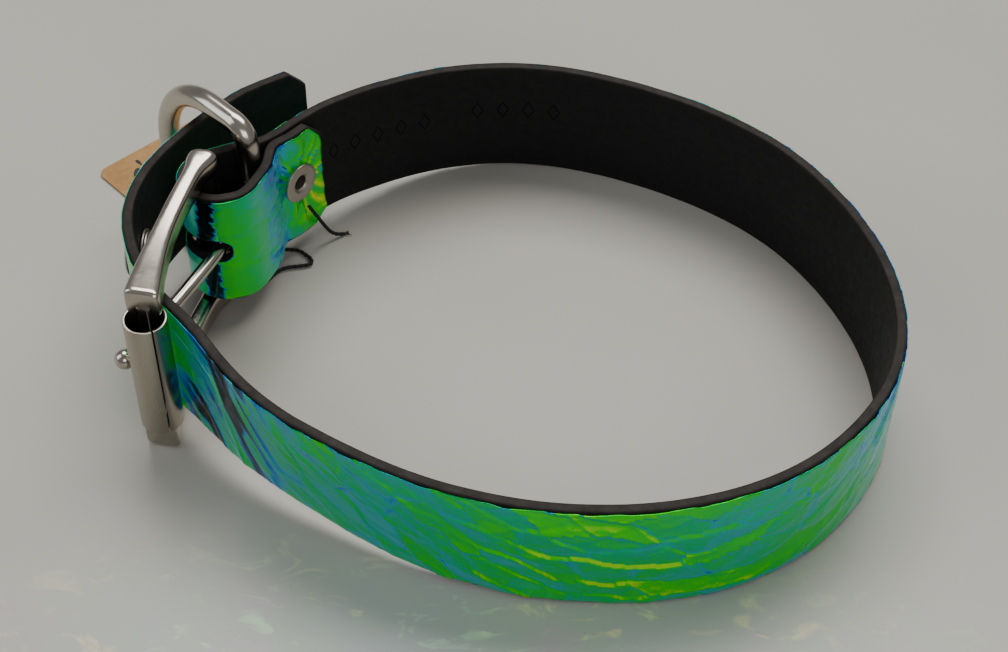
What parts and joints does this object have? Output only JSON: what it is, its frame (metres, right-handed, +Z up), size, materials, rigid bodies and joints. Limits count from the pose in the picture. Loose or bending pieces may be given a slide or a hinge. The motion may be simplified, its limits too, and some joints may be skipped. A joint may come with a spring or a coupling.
{
  "type": "buckle collar",
  "caption": "Flat leather pet collar with a crinkled iridescent facing, roller buckle, D-ring held in the riveted fold, adjustment eyelets and a kraft hang tag on a string",
  "frame": {"origin": "middle of the collar's footprint, at the height of the table it stands on", "axes": "+X from the buckle across the loop, +Y from the front of the loop to its back, +Z up"},
  "size_m": [0.1522, 0.1222, 0.0385],
  "materials": {
    "leather": "black, matt, worn grey-brown edges",
    "iridescent_vinyl": "glossy crinkled film, green to blue with yellow glints",
    "nickel": "polished nickel plate",
    "satin_steel": "satin grey steel",
    "kraft_card": "brown kraft card, matt",
    "black_string": "black twisted cotton string"
  },
  "bodies": {
    "collar": {"strap": "leather", "facing": "iridescent_vinyl", "tab_rivet": "satin_steel", "rivet_cap": "satin_steel", "eyelet_1": "satin_steel", "eyelet_2": "satin_steel", "eyelet_3": "satin_steel", "eyelet_washer_1": "satin_steel", "eyelet_washer_2": "satin_steel", "eyelet_washer_3": "satin_steel", "hang_tag": "kraft_card", "tag_string": "black_string", "string_end": "black_string"},
    "buckle": {"buckle_frame": "nickel"},
    "roller": {"roller": "nickel"},
    "prong": {"prong": "nickel"},
    "ring": {"d_ring": "nickel"}
  },
  "joints": [
    {"name": "buckle_hinge", "type": "hinge", "parent": "collar", "child": "buckle", "pos_m": [-0.0546, 0.0143, 0.0185], "axis": [0, 0, -1], "range_deg": [0, 1]},
    {"name": "roller_spin", "type": "hinge", "parent": "buckle", "child": "roller", "pos_m": [-0.06072, -0.02118, 0.0185], "axis": [0, 0, 1], "continuous": true},
    {"name": "prong_hinge", "type": "hinge", "parent": "buckle", "child": "prong", "pos_m": [-0.0546, 0.0143, 0.0185], "axis": [0, 0, -1], "range_deg": [0, 0.5]},
    {"name": "ring_swing", "type": "hinge", "parent": "collar", "child": "ring", "pos_m": [-0.0479, 0.0209, 0.0193], "axis": [0, 0, 1], "range_deg": [-10, 15]}
  ]
}
